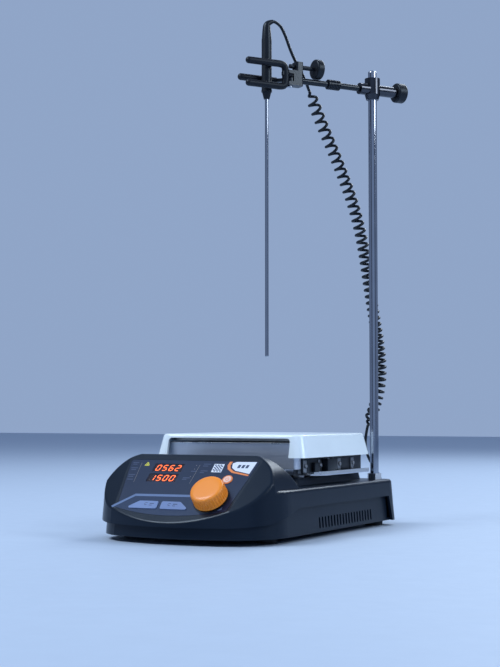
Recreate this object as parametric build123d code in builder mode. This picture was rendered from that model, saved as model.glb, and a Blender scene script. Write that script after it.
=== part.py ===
from build123d import *
import os
from math import atan, cos, pi, radians, sin, tan

# Heating magnetic stirrer with stand rod, clamp and temperature probe, in millimetres.
# Origin: on the bench, under the middle of the heating plate. +X is the stirrer's right
# side seen from its front, -Y its front and +Z up.

os.makedirs("parts", exist_ok=True)

# Housing
body_half = 106.0            # half the width at the bench end
body_rear = 130.0
nose_front = 218.0           # how far the bowed nose stands in front of the plate's middle
nose_half = body_half - 37   # half the width of the nose's shallow bow
nose_shoulder = 206.0
corner_out = (body_half - 10, 181.5)  # middle of the big front corner's arc
corner_end = 146.0
rear_corner = 14.0
foot_height = 6.0
deck = 52.5
draft = 0.0785               # inward lean of the walls for each millimetre of height
wall = 3.0
edge_radius = 4.0
form_top = 95.0
ridge_height = 86.0
ridge_half = body_half - 38
rear_slope_start = 112.0     # where the console's back comes down to the deck
rear_slope = radians(45.0)
shoulder_foot_half = body_half - 7.6  # half the console's width at the deck
shoulder_mid = (body_half - 15, 71.5)  # a point of the console's rounded shoulder: X, Z

# Control panel's plane
panel_rise = 0.9608
panel_height = 55.0          # height of the panel's own origin
panel_zero = 229.9
panel_tilt = atan(panel_rise)
panel_y = (panel_height - panel_zero) / panel_rise
flank_point = (body_half - 28, -155.3, 80.6)
flank_normal = (0.174, -0.703, 0.689)

# Console pieces, measured on the panel: X, and up the slope
overlay_top = 36.5
overlay_bottom = -32.0
overlay_bow = 6.5            # how far the overlay's lower edge bows below that
overlay_top_half = body_half - 31
overlay_bottom_half = body_half - 43.5
overlay_thickness = 1.2
trim_gap = 0.25              # gap round pieces let into a face
display_width = 34.0
display_height = 10.5
display_1 = (-26.5, 25.8)
display_2 = (-27.5, 11.8)
display_sink = 0.4           # display faces below the overlay
board_depth = 11.0           # from the panel's face to the display board's front
board_thickness = 1.6
knob_place = (41.0, -15.0)
knob_radius = 17.8
knob_height = 16.0
knob_lift = 1.6              # gap under the knob, more than its press travel
shaft_radius = 3.0
running_gap = 0.05
bush_radius = 5.0
press_travel = 0.8
power_place = (48.3, 11.2)
power_radius = 4.2
power_ring = 1.4
key_travel = 0.5
key_left = [(-51.5, -30.5), (-38.5, -20.6), (-16.6, -20.6), (-15.6, -30.5)]
key_right = [(-12.6, -20.6), (8.6, -20.6), (21.5, -30.5), (-11.6, -30.5)]
key_step = 0.8               # how far the keys stand proud of the overlay

# Heating plate and what is under it
plate_half = 85.0
plate_corner = 12.0
skirt_half = plate_half + 5.5
plate_top = 106.0
skirt_bottom = plate_top - 24
plate_thickness = 4.0
skirt_wall = 3.0
notch_half = plate_half - 11.5
notch_top = plate_top - plate_thickness
casing_half = plate_half - 7
casing_front = plate_half - 4
casing_bottom = skirt_bottom - 12
casing_top = plate_top - 8.5
sheet = 1.0
heater_half = plate_half - 9
heater_thickness = 3.0
well_radius = 40.0
tray_half = plate_half + 3
tray_front = 43.0
tray_back = 86.0
tray_bottom = 62.0
tray_sheet = 1.4
tray_chamfer = 12.0
island_half = plate_half - 13
island_front = 70.0
island_back = 106.0
island_top = 60.0
post_x = 58.0
post_front = 34.0
post_back = 62.0
post_radius = 3.5
hole_gap = 0.3

# Stirring drive
motor_radius = 22.0
motor_bottom = 13.0
motor_top = 47.0
spindle_radius = 2.5
bearing_radius = 7.0
bearing_width = 5.0
rotor_radius = 14.0
magnet_floor = 78.0
magnet_bar_half = 32.0
magnet_radius = 9.0
magnet_place = 20.0
magnet_height = 8.0

# Rear panel
rear_half = 75.0
rear_low = 12.3
rear_high = 43.7
rear_face = 124.0
rear_sheet = 2.5
inlet_x = -46.0
fuse_x = -10.0
switch_x = 16.0
socket_x = 60.0
connector_z = 28.0

# Stand rod and clamp
rod_x = 88.0
rod_y = 102.0
rod_radius = 5.0
rod_low = 24.0
rod_top = 528.0
probe_x = 8.0
probe_y = -12.0
clamp_z = rod_top - 22.5
boss_top = clamp_z + 13
boss_low = clamp_z - 12
boss_radius = rod_radius + 4
boss_foot_radius = rod_radius + 2.2
disc_radius = 11.4
disc_edge = 2.0
arm_radius = 3.5
screw_z = clamp_z + 15.5
screw_radius = 2.5
pivot_a = 110.0
pin_radius = 2.0
prong_high = clamp_z + 13.8
prong_low = clamp_z - 11.5
prong_tip = 164.0
prong_radius = 2.4
sleeve_radius = 3.9
grip_gap = 0.3

# Probe
tube_radius = 2.0
tube_tip = 190.0
tube_head = clamp_z - 25.5
ring_z = clamp_z - 15.5
handle_radius = 5.7
handle_top = clamp_z + 42.5

# Lead
lead_radius = 1.5
coil_radius = 7.6
coil_foot = 113.0            # the curly stretch's lower end
lead_clamp_z = 505.5         # the clamp's height that the lead's points are given for


def outline(inset):
    """Plan outline of the housing at its foot, moved in by inset."""
    with BuildSketch() as plan:
        with BuildLine():
            nose = ThreePointArc((-nose_half, -nose_shoulder), (0, -nose_front), (nose_half, -nose_shoulder))
            right = ThreePointArc(nose @ 1, (corner_out[0], -corner_out[1]), (body_half, -corner_end))
            Polyline(right @ 1, (body_half, body_rear), (-body_half, body_rear), (-body_half, -corner_end))
            ThreePointArc((-body_half, -corner_end), (-corner_out[0], -corner_out[1]), nose @ 0)
        make_face()
        fillet(plan.vertices().group_by(Axis.Y)[-1], rear_corner)
        offset(amount=-inset)
    return plan.sketch


def housing_form(inset, low):
    """The housing's outer form with every face moved in by inset, from low upwards."""
    deck_in = deck - inset
    ridge_in = ridge_height - inset
    panel_drop = inset / cos(panel_tilt)
    slope_drop = inset / cos(rear_slope)
    front_low = (low - panel_zero + panel_drop) / panel_rise
    front_ridge = (ridge_in - panel_zero + panel_drop) / panel_rise
    slope_top = -rear_slope_start - (ridge_in - deck + slope_drop) / tan(rear_slope)
    slope_foot = -rear_slope_start - (deck_in - deck + slope_drop) / tan(rear_slope)
    side = [(front_low, low), (front_ridge, ridge_in), (slope_top, ridge_in), (slope_foot, deck_in)]
    side += [(body_rear + 9, deck_in), (body_rear + 9, low)]
    with BuildPart() as form:
        for height in (low, form_top):
            with BuildSketch(Plane.XY.offset(height)):
                add(outline(inset + draft * (height - foot_height)))
        loft(ruled=True)
        with BuildSketch(Plane.YZ):
            with BuildLine():
                Polyline(*side, close=True)
            make_face()
        extrude(amount=2 * body_half, both=True, mode=Mode.INTERSECT)
        for hand in (1, -1):
            nx, ny, nz = flank_normal
            px, py, pz = flank_point
            origin = (hand * (px - nx * inset), py - ny * inset, pz - nz * inset)
            split(bisect_by=Plane(origin=origin, z_dir=(hand * nx, ny, nz)), keep=Keep.BOTTOM)
            foot = (hand * (shoulder_foot_half - inset), deck_in)
            mid = (hand * (shoulder_mid[0] - inset), shoulder_mid[1] - inset)
            head = (hand * (ridge_half - inset), ridge_in)
            with BuildSketch(Plane.XZ.offset(body_rear - nose_front)):
                with BuildLine():
                    ThreePointArc(foot, mid, head)
                    Polyline(head, (head[0], form_top + 9), (hand * 2 * body_half, form_top + 9),
                             (hand * 2 * body_half, deck_in), foot)
                make_face()
            extrude(amount=2 * body_rear, both=True, mode=Mode.SUBTRACT)
    return form.part


def panel_plane(depth=0.0):
    """The control panel's plane, depth below its face."""
    normal = (0, -sin(panel_tilt), cos(panel_tilt))
    origin = (0, panel_y - depth * normal[1], panel_height - depth * normal[2])
    return Plane(origin=origin, x_dir=(1, 0, 0), z_dir=normal)


outer = housing_form(0, foot_height)
inner = housing_form(wall, foot_height - 10)


def save(part, label):
    """Label a finished piece and write it."""
    part.label = label
    export_step(part, "parts/" + label + ".step")


def turn_radii(points):
    """The arc at each corner of a cord's route, as large as its two runs allow."""
    radii = []
    for before, here, after in zip(points, points[1:], points[2:]):
        incoming = Vector(*here) - Vector(*before)
        outgoing = Vector(*after) - Vector(*here)
        half_turn = radians(incoming.get_angle(outgoing)) / 2
        radii.append(0.45 * min(incoming.length, outgoing.length) / tan(half_turn))
    return radii


def cord_tube(label, points, radius):
    """A round tube along straight runs joined by tangent arcs."""
    radii = turn_radii(points)
    with BuildPart() as tube:
        with BuildLine() as route:
            FilletPolyline(*points, radius=radii)
        start = route.line @ 0
        with BuildSketch(Plane(origin=start, z_dir=route.line % 0)):
            Circle(radius)
        sweep(path=route.wire())
    length = route.wire().length
    print(label, "length", round(length, 1), "radii", [round(r, 1) for r in radii],
          "volume ratio", round(tube.part.volume / (pi * radius**2 * length), 4))
    save(tube.part, label)


# ---- Housing -------------------------------------------------------------------------

tray_inset = wall + 2.0
tray_wall = 2.5
floor_top = foot_height + tray_wall
tray_wall_top = 36.0
boss_places = [(-68, -172), (68, -172), (-88, -40), (88, -40), (-72, 98), (38, 106)]
boss_split = 30.0
case_boss_radius = 4.5
case_screw_radius = 1.9
screw_seat = 14.0
recess = [(-230, foot_height - 1), (-230, 17), (-204, 18), (-175, 21), (-133, 32), (-126, 34), (107, 34), (113, foot_height - 1)]
spindle_hole = 6.0
rod_gap = 0.05


def overlay_outline(gap):
    """Outline of the overlay, grown by gap."""
    with BuildSketch() as area:
        with BuildLine():
            right_low = (overlay_bottom_half, overlay_bottom + 2)
            left_low = (-overlay_bottom_half, overlay_bottom + 2)
            ThreePointArc(left_low, (0, overlay_bottom - overlay_bow), right_low)
            Polyline(right_low, (overlay_top_half, overlay_top), (-overlay_top_half, overlay_top), left_low)
        make_face()
        fillet(area.vertices().group_by(Axis.Y)[-1], 3.0)
        offset(amount=gap)
    return area.sketch


def key_outline(corners, gap):
    """Outline of a key, grown by gap."""
    with BuildSketch() as area:
        with BuildLine():
            Polyline(*corners, close=True)
        make_face()
        fillet(area.vertices(), 1.6)
        offset(amount=gap)
    return area.sketch


def rounded_edges(form):
    """The form's edges that are rounded: all but its foot and the valley behind the console."""
    chosen = []
    for edge in form.edges():
        place = edge.center()
        at_deck = abs(place.Z - deck) < 0.8
        valley = at_deck and (abs(place.Y + rear_slope_start) < 1 or (edge.length > 40 and place.Y < -rear_slope_start))
        if place.Z > foot_height + 1 and edge.length > 1 and not valley:
            chosen.append(edge)
    return chosen


with BuildPart() as rounded_form:
    add(outer)
    fillet(rounded_edges(rounded_form.part), edge_radius)
print("rounded form", round(rounded_form.part.volume), rounded_form.part.is_valid)

with BuildPart() as rear_frame:
    add(outer)
    with BuildSketch(Plane.XZ.offset(-rear_face - 9)):
        with Locations((0, (rear_low + rear_high) / 2)):
            Rectangle(2 * rear_half + 6, rear_high - rear_low + 6)
    extrude(amount=rear_sheet + 12, mode=Mode.INTERSECT)

with BuildPart() as case_bosses:
    add(outer)
    with BuildSketch(Plane.XY.offset(boss_split)):
        with Locations(*boss_places):
            Circle(case_boss_radius)
    extrude(amount=ridge_height, mode=Mode.INTERSECT)

with BuildPart() as top_shell:
    add(rounded_form.part)
    add(inner, mode=Mode.SUBTRACT)
    with BuildSketch(Plane.YZ):
        with BuildLine():
            Polyline(*recess, close=True)
        make_face()
    extrude(amount=2 * body_half, both=True, mode=Mode.SUBTRACT)
    with BuildSketch(Plane.XY.offset(deck - 0.5)):
        with Locations((0, (island_back - island_front) / 2)):
            RectangleRounded(2 * island_half, island_front + island_back, 10)
    extrude(amount=island_top - deck + 0.5, taper=14)
    add(case_bosses.part)
    add(rear_frame.part)
    with BuildSketch(Plane.XZ.offset(-rear_face + rear_sheet)):
        with Locations((0, (rear_low + rear_high) / 2)):
            Rectangle(2 * rear_half, rear_high - rear_low)
    extrude(amount=-20, mode=Mode.SUBTRACT)
    with BuildSketch(Plane.XZ.offset(-rear_face + rear_sheet + 6)):
        with Locations((0, (rear_low + rear_high) / 2)):
            Rectangle(2 * rear_half - 8, rear_high - rear_low - 6)
    extrude(amount=-20, mode=Mode.SUBTRACT)
    with BuildSketch(Plane.XY.offset(boss_split - 1)):
        with Locations(*boss_places):
            Circle(case_screw_radius + 0.1)
    extrude(amount=13, mode=Mode.SUBTRACT)
    with BuildSketch(Plane.XY.offset(deck - wall - 1)):
        Circle(spindle_hole)
    extrude(amount=wall + island_top - deck + 2, mode=Mode.SUBTRACT)
    with BuildSketch(Plane.XY.offset(deck - wall - 1)):
        with Locations((rod_x, rod_y)):
            Circle(rod_radius + hole_gap)
    extrude(amount=wall + 2, mode=Mode.SUBTRACT)
    with BuildSketch(panel_plane(overlay_thickness)):
        add(overlay_outline(trim_gap))
    extrude(amount=10, mode=Mode.SUBTRACT)
    with BuildSketch(panel_plane(wall + 1)):
        with Locations(display_1, display_2):
            Rectangle(display_width + 2 * trim_gap, display_height + 2 * trim_gap)
        add(key_outline(key_left, hole_gap))
        add(key_outline(key_right, hole_gap))
        with Locations(knob_place):
            Circle(bush_radius + trim_gap)
        with Locations(power_place):
            Circle(power_radius + hole_gap)
    extrude(amount=10, mode=Mode.SUBTRACT)
save(top_shell.part, "top_shell")

with BuildPart() as bottom_shell:
    add(housing_form(tray_inset, foot_height))
    with BuildSketch(Plane.XY.offset(tray_wall_top)):
        Rectangle(3 * body_half, 3 * nose_front)
    extrude(amount=form_top, mode=Mode.SUBTRACT)
    for height in (floor_top, form_top):
        with BuildSketch(Plane.XY.offset(height)):
            add(outline(tray_inset + tray_wall + draft * (height - foot_height)))
    loft(ruled=True, mode=Mode.SUBTRACT)
    with BuildSketch(Plane.XY.offset(floor_top)):
        with Locations((0, body_rear)):
            Rectangle(2 * body_half, 44)
    extrude(amount=form_top, mode=Mode.SUBTRACT)
    with BuildSketch(Plane.XY.offset(foot_height)):
        with Locations(*boss_places):
            Circle(case_boss_radius + 1)
    extrude(amount=boss_split - hole_gap - foot_height)
    with BuildSketch(Plane.XY.offset(floor_top - 1)):
        with GridLocations(100, 60, 2, 2):
            with Locations((0, -89)):
                Circle(3)
    extrude(amount=14 - floor_top + 1)
    with BuildSketch(Plane.XY.offset(foot_height)):
        with Locations(*boss_places):
            Circle(case_screw_radius + 0.3)
    extrude(amount=boss_split, mode=Mode.SUBTRACT)
    with BuildSketch(Plane.XY.offset(foot_height - 1)):
        with Locations(*boss_places):
            Circle(4.0)
    extrude(amount=screw_seat - foot_height + 1, mode=Mode.SUBTRACT)
    with BuildSketch(Plane.YZ):
        with Locations((-5, 15.5)):
            with GridLocations(7.4, 1, 19, 1):
                SlotOverall(12, 3.4, rotation=90)
    extrude(amount=2 * body_half, both=True, mode=Mode.SUBTRACT)
    foot_places = [(-78, -148), (78, -148), (-84, 108), (84, 108)]
    with BuildSketch(Plane.XY.offset(foot_height - 1)):
        with Locations(*foot_places):
            Circle(3.0)
    extrude(amount=tray_wall + 2, mode=Mode.SUBTRACT)
save(bottom_shell.part, "bottom_shell")

with BuildPart() as rubber_feet:
    with BuildSketch():
        with Locations(*foot_places):
            Circle(10)
    extrude(amount=foot_height, taper=-6)
    with BuildSketch(Plane.XY.offset(foot_height)):
        with Locations(*foot_places):
            Circle(2.95)
    extrude(amount=4)
save(rubber_feet.part, "rubber_feet")

with BuildPart() as case_screws:
    with BuildSketch(Plane.XY.offset(screw_seat - 3)):
        with Locations(*boss_places):
            Circle(3.7)
    extrude(amount=3)
    with BuildSketch(Plane.XY.offset(screw_seat)):
        with Locations(*boss_places):
            Circle(case_screw_radius)
    extrude(amount=26)
save(case_screws.part, "case_screws")

# ---- Control panel -------------------------------------------------------------------

with BuildPart() as panel_overlay:
    with BuildSketch(panel_plane(overlay_thickness)):
        add(overlay_outline(0))
        with Locations(display_1, display_2):
            Rectangle(display_width + 2 * trim_gap, display_height + 2 * trim_gap, mode=Mode.SUBTRACT)
        add(key_outline(key_left, hole_gap), mode=Mode.SUBTRACT)
        add(key_outline(key_right, hole_gap), mode=Mode.SUBTRACT)
        with Locations(knob_place):
            Circle(bush_radius + trim_gap, mode=Mode.SUBTRACT)
        with Locations(power_place):
            Circle(power_radius + power_ring + 0.1, mode=Mode.SUBTRACT)
    extrude(amount=overlay_thickness)
save(panel_overlay.part, "panel_overlay")

with BuildPart() as displays:
    with BuildSketch(panel_plane(board_depth)):
        with Locations(display_1, display_2):
            Rectangle(display_width, display_height)
    extrude(amount=board_depth - display_sink)
save(displays.part, "displays")

with BuildPart() as display_board:
    with BuildSketch(panel_plane(board_depth + board_thickness)):
        with Locations((0, 1)):
            Rectangle(116, 62)
    extrude(amount=board_thickness)
save(display_board.part, "display_board")

chamber_top = 6.3
chamber_floor = 10.0
with BuildPart() as encoder_body:
    with BuildSketch(panel_plane(board_depth)):
        with Locations(knob_place):
            Rectangle(13, 13)
    extrude(amount=board_depth - wall - 1)
    with BuildSketch(panel_plane(wall + 1)):
        with Locations(knob_place):
            Circle(bush_radius)
    extrude(amount=wall + 1)
    with BuildSketch(panel_plane(chamber_floor)):
        with Locations(knob_place):
            Circle(shaft_radius + running_gap)
    extrude(amount=chamber_floor + 1, mode=Mode.SUBTRACT)
    with BuildSketch(panel_plane(chamber_floor)):
        with Locations(knob_place):
            Circle(4.3)
    extrude(amount=chamber_floor - chamber_top, mode=Mode.SUBTRACT)
save(encoder_body.part, "encoder_body")

with BuildPart() as encoder_plunger:
    with BuildSketch(panel_plane(8.6)):
        with Locations(knob_place):
            Circle(4.0)
    extrude(amount=1.8)
save(encoder_plunger.part, "encoder_plunger")

with BuildPart() as encoder_shaft:
    with BuildSketch(panel_plane(6.5)):
        with Locations(knob_place):
            Circle(shaft_radius)
    extrude(amount=6.5 + 12)
save(encoder_shaft.part, "encoder_shaft")

with BuildPart() as knob:
    with BuildSketch(panel_plane(-knob_lift)):
        with Locations(knob_place):
            Circle(knob_radius)
    extrude(amount=knob_height - knob_lift)
    fillet(knob.faces().filter_by(GeomType.PLANE).sort_by(Axis.Z)[-1].edges(), 1.5)
    with BuildSketch(panel_plane(-knob_lift)):
        with Locations(knob_place):
            Circle(knob_radius - 2.2)
            Circle(6.0, mode=Mode.SUBTRACT)
    extrude(amount=10, mode=Mode.SUBTRACT)
    with BuildSketch(panel_plane(0)):
        with Locations(knob_place):
            Circle(shaft_radius)
    extrude(amount=12, mode=Mode.SUBTRACT)
save(knob.part, "knob")

with BuildPart() as power_button:
    with BuildSketch(panel_plane(6.3)):
        with Locations(power_place):
            Circle(power_radius)
    extrude(amount=6.3 + 0.9)
save(power_button.part, "power_button")

with BuildPart() as power_bezel:
    with BuildSketch(panel_plane(overlay_thickness)):
        with Locations(power_place):
            Circle(power_radius + power_ring)
            Circle(power_radius + 0.2, mode=Mode.SUBTRACT)
    extrude(amount=overlay_thickness + 0.6)
save(power_bezel.part, "power_bezel")

key_stems = {"key_left": (key_left, (-30.5, -25.5)), "key_right": (key_right, (1.5, -25.5))}
for key_name, (corners, stem) in key_stems.items():
    with BuildPart() as key:
        with BuildSketch(panel_plane(wall - 0.5)):
            add(key_outline(corners, 0))
        extrude(amount=wall - 0.5 + key_step)
        with BuildSketch(panel_plane(6.3)):
            with Locations(stem):
                Circle(1.8)
        extrude(amount=5)
    save(key.part, key_name)

with BuildPart() as tact_switches:
    with BuildSketch(panel_plane(board_depth)):
        with Locations(power_place, key_stems["key_left"][1], key_stems["key_right"][1]):
            Rectangle(6, 6)
    extrude(amount=board_depth - 7.1)
save(tact_switches.part, "tact_switches")

# ---- Heating plate -------------------------------------------------------------------

post_places = [(-post_x, -post_front), (post_x, -post_front), (-post_x, post_back), (post_x, post_back)]

with BuildPart() as hot_plate:
    with BuildSketch(Plane.XY.offset(skirt_bottom)):
        RectangleRounded(2 * skirt_half, 2 * skirt_half, plate_corner + 2)
    with BuildSketch(Plane.XY.offset(plate_top)):
        RectangleRounded(2 * plate_half, 2 * plate_half, plate_corner)
    loft(ruled=True)
    fillet(hot_plate.edges().group_by(Axis.Z)[-1], 3.0)
    with BuildSketch(Plane.XY.offset(skirt_bottom)):
        RectangleRounded(2 * (skirt_half - skirt_wall), 2 * (skirt_half - skirt_wall), plate_corner - 1)
    with BuildSketch(Plane.XY.offset(plate_top - plate_thickness)):
        RectangleRounded(2 * (plate_half - skirt_wall), 2 * (plate_half - skirt_wall), plate_corner - 3)
    loft(ruled=True, mode=Mode.SUBTRACT)
    with BuildSketch(Plane.XZ.offset(skirt_half + 4)) as notch:
        with Locations((0, notch_top - 20)):
            Rectangle(2 * notch_half, 40)
        fillet(notch.vertices().group_by(Axis.Z)[-1], 4)
    extrude(amount=-16, mode=Mode.SUBTRACT)
save(hot_plate.part, "hot_plate")

with BuildPart() as heater_element:
    with BuildSketch(Plane.XY.offset(plate_top - plate_thickness - heater_thickness)):
        RectangleRounded(2 * heater_half, 2 * heater_half, 6)
        with Locations(*post_places):
            Circle(post_radius + hole_gap, mode=Mode.SUBTRACT)
    extrude(amount=heater_thickness)
save(heater_element.part, "heater_element")

casing_centre = (0, (casing_half - casing_front) / 2)
with BuildPart() as heater_casing:
    with BuildSketch(Plane.XY.offset(casing_bottom)):
        with Locations(casing_centre):
            RectangleRounded(2 * casing_half, casing_front + casing_half, 4)
    extrude(amount=casing_top - casing_bottom)
    with BuildSketch(Plane.XY.offset(casing_bottom + sheet)):
        with Locations(casing_centre):
            RectangleRounded(2 * (casing_half - sheet), casing_front + casing_half - 2 * sheet, 3)
    extrude(amount=casing_top, mode=Mode.SUBTRACT)
    with BuildSketch(Plane.XY.offset(casing_bottom - 1)):
        Circle(14)
        with Locations(*post_places):
            Circle(post_radius + hole_gap)
    extrude(amount=sheet + 2, mode=Mode.SUBTRACT)
save(heater_casing.part, "heater_casing")

with BuildPart() as insulation_pad:
    with BuildSketch(Plane.XY.offset(casing_bottom + sheet)):
        with Locations(casing_centre):
            RectangleRounded(2 * (casing_half - sheet - 0.5), casing_front + casing_half - 2 * sheet - 1, 3)
        Circle(well_radius, mode=Mode.SUBTRACT)
        with Locations(*post_places):
            Circle(post_radius + hole_gap, mode=Mode.SUBTRACT)
    extrude(amount=casing_top - casing_bottom - sheet - 1)
save(insulation_pad.part, "insulation_pad")

with BuildPart() as heat_shield:
    with BuildSketch(Plane.XY.offset(tray_bottom)) as shield_plan:
        with Locations((0, (tray_back - tray_front) / 2)):
            Rectangle(2 * tray_half, tray_front + tray_back)
        chamfer(shield_plan.vertices().group_by(Axis.Y)[0], tray_chamfer)
        Circle(14, mode=Mode.SUBTRACT)
        with Locations(*post_places):
            Circle(post_radius + hole_gap, mode=Mode.SUBTRACT)
    extrude(amount=tray_sheet)
save(heat_shield.part, "heat_shield")

with BuildPart() as plate_posts:
    with BuildSketch(Plane.XY.offset(island_top)):
        with Locations(*post_places):
            Circle(post_radius)
    extrude(amount=plate_top - plate_thickness - island_top)
    with BuildSketch(Plane.XY.offset(island_top)):
        with Locations(*post_places):
            Circle(post_radius + 2.5)
    extrude(amount=tray_bottom - island_top)
    with BuildSketch(Plane.XY.offset(tray_bottom + tray_sheet)):
        with Locations(*post_places):
            Circle(post_radius + 2.5)
    extrude(amount=casing_bottom - tray_bottom - tray_sheet)
save(plate_posts.part, "plate_posts")

# ---- Stirring drive ------------------------------------------------------------------

with BuildPart() as motor_case:
    with BuildSketch(Plane.XY.offset(motor_bottom)):
        Circle(motor_radius)
    extrude(amount=motor_top - motor_bottom)
    with BuildSketch(Plane.XY.offset(motor_bottom + 2)):
        Circle(motor_radius - 1.5)
    extrude(amount=motor_top - motor_bottom - 4, mode=Mode.SUBTRACT)
    for seat in (motor_bottom, motor_top - bearing_width):
        with BuildSketch(Plane.XY.offset(seat)):
            Circle(bearing_radius + 2.5)
        extrude(amount=bearing_width)
    with BuildSketch(Plane.XY.offset(motor_bottom)):
        Circle(bearing_radius)
    extrude(amount=motor_top - motor_bottom, mode=Mode.SUBTRACT)
save(motor_case.part, "motor_case")

with BuildPart() as motor_bearings:
    for seat in (motor_bottom, motor_top - bearing_width):
        with BuildSketch(Plane.XY.offset(seat)):
            Circle(bearing_radius)
            Circle(spindle_radius + running_gap, mode=Mode.SUBTRACT)
        extrude(amount=bearing_width)
save(motor_bearings.part, "motor_bearings")

with BuildPart() as stator:
    with BuildSketch(Plane.XY.offset(motor_bottom + 7)):
        Circle(motor_radius - 1.5)
        Circle(rotor_radius + 1, mode=Mode.SUBTRACT)
    extrude(amount=motor_top - motor_bottom - 14)
save(stator.part, "stator")

with BuildPart() as rotor_spindle:
    with BuildSketch(Plane.XY.offset(motor_bottom - 1)):
        Circle(spindle_radius)
    extrude(amount=magnet_floor + 6 - motor_bottom + 1)
    with BuildSketch(Plane.XY.offset(motor_bottom + 8)):
        Circle(rotor_radius)
    extrude(amount=motor_top - motor_bottom - 16)
save(rotor_spindle.part, "rotor_spindle")

with BuildPart() as magnet_holder:
    with BuildSketch(Plane.XY.offset(magnet_floor)):
        SlotOverall(2 * magnet_bar_half, 2 * magnet_radius + 4)
        Circle(spindle_radius, mode=Mode.SUBTRACT)
    extrude(amount=6)
    with BuildSketch(Plane.XY.offset(magnet_floor - 5)):
        Circle(6)
        Circle(spindle_radius, mode=Mode.SUBTRACT)
    extrude(amount=5)
save(magnet_holder.part, "magnet_holder")

with BuildPart() as stir_magnets:
    with BuildSketch(Plane.XY.offset(magnet_floor + 6)):
        with Locations((-magnet_place, 0), (magnet_place, 0)):
            Circle(magnet_radius)
    extrude(amount=magnet_height)
save(stir_magnets.part, "stir_magnets")

# ---- Inside the housing --------------------------------------------------------------

fan_outer = -92.0
fan_depth = 10.0
fan_size = 40.0
fan_place = (60.0, floor_top + fan_size / 2)
fan_pin = 1.5

with BuildPart() as fan_frame:
    with BuildSketch(Plane.YZ.offset(fan_outer)):
        with Locations(fan_place):
            RectangleRounded(fan_size, fan_size, 3)
            Circle(fan_size / 2 - 1.5, mode=Mode.SUBTRACT)
    extrude(amount=fan_depth)
    with BuildSketch(Plane.YZ.offset(fan_outer + fan_depth - 2)):
        with Locations(fan_place):
            Circle(8)
            Rectangle(fan_size - 2, 3)
            Rectangle(3, fan_size - 2)
    extrude(amount=2)
    with BuildSketch(Plane.YZ.offset(fan_outer + 2)):
        with Locations(fan_place):
            Circle(fan_pin)
    extrude(amount=fan_depth - 2)
save(fan_frame.part, "fan_frame")

with BuildPart() as fan_impeller:
    with BuildSketch(Plane.YZ.offset(fan_outer + 1)):
        with Locations(fan_place):
            Circle(8)
            with PolarLocations(12, 7):
                Rectangle(11, 2.2, rotation=0)
            Circle(fan_pin + running_gap, mode=Mode.SUBTRACT)
    extrude(amount=fan_depth - 3.5)
save(fan_impeller.part, "fan_impeller")

with BuildPart() as main_board:
    with BuildSketch(Plane.XY.offset(14)):
        with Locations((0, -89)):
            Rectangle(114, 74)
    extrude(amount=board_thickness)
save(main_board.part, "main_board")

with BuildPart() as board_parts:
    with BuildSketch(Plane.XY.offset(14 + board_thickness)):
        with Locations((-28, -88)):
            RectangleRounded(40, 34, 2)
    extrude(amount=24)
    with BuildSketch(Plane.XY.offset(14 + board_thickness)):
        with Locations((28, -72)):
            Rectangle(44, 24)
    extrude(amount=4)
    with BuildSketch(Plane.XY.offset(14 + board_thickness + 4)):
        with Locations((28, -72)):
            with GridLocations(5.5, 1, 8, 1):
                Rectangle(1.6, 24)
    extrude(amount=18)
    with BuildSketch(Plane.XY.offset(14 + board_thickness)):
        with Locations((12, -108), (28, -108), (44, -108)):
            Circle(6)
    extrude(amount=18)
save(board_parts.part, "board_parts")

# ---- Rear panel ----------------------------------------------------------------------


def rear_plane(y):
    """Upright plane facing the rear at y, with X to the stirrer's right and Z up."""
    return Plane(origin=(0, y, 0), x_dir=(-1, 0, 0), z_dir=(0, 1, 0))


inlet_at = (-inlet_x, connector_z)
fuse_at = (-fuse_x, connector_z)
switch_at = (-switch_x, connector_z)
socket_at = (-socket_x, connector_z)
inlet_screw_gap = 40.0
inlet_flange = 2.5
inlet_pocket = 17.0

with BuildPart() as rear_panel:
    with BuildSketch(rear_plane(rear_face - rear_sheet)):
        with Locations((0, (rear_low + rear_high) / 2)):
            Rectangle(2 * rear_half - 0.6, rear_high - rear_low - 0.6)
        with Locations(inlet_at):
            Rectangle(28.4, 20.6, mode=Mode.SUBTRACT)
            with GridLocations(inlet_screw_gap, 1, 2, 1):
                Circle(1.7, mode=Mode.SUBTRACT)
        with Locations(fuse_at):
            Circle(6.3, mode=Mode.SUBTRACT)
        with Locations(switch_at):
            Rectangle(13.6, 20.2, mode=Mode.SUBTRACT)
        with Locations(socket_at):
            Circle(7.2, mode=Mode.SUBTRACT)
    extrude(amount=rear_sheet)
save(rear_panel.part, "rear_panel")

with BuildPart() as inlet_body:
    with BuildSketch(rear_plane(rear_face)):
        with Locations(inlet_at):
            RectangleRounded(48, 23, 4)
            with GridLocations(inlet_screw_gap, 1, 2, 1):
                Circle(1.7, mode=Mode.SUBTRACT)
    extrude(amount=inlet_flange)
    with BuildSketch(rear_plane(rear_face - 20)):
        with Locations(inlet_at):
            Rectangle(28, 20.2)
    extrude(amount=20)
    with BuildSketch(rear_plane(rear_face + inlet_flange - inlet_pocket)) as pocket:
        with Locations(inlet_at):
            Rectangle(24.6, 16.4)
        chamfer(pocket.vertices().group_by(Axis.Z)[-1], 4)
    extrude(amount=inlet_pocket, mode=Mode.SUBTRACT)
    with BuildSketch(rear_plane(rear_face + inlet_flange - inlet_pocket - 1)):
        with Locations(inlet_at):
            with Locations((-7, -1.5), (0, 1.8), (7, -1.5)):
                Rectangle(2, 4)
    extrude(amount=inlet_pocket - 2)
save(inlet_body.part, "inlet_body")

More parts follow.
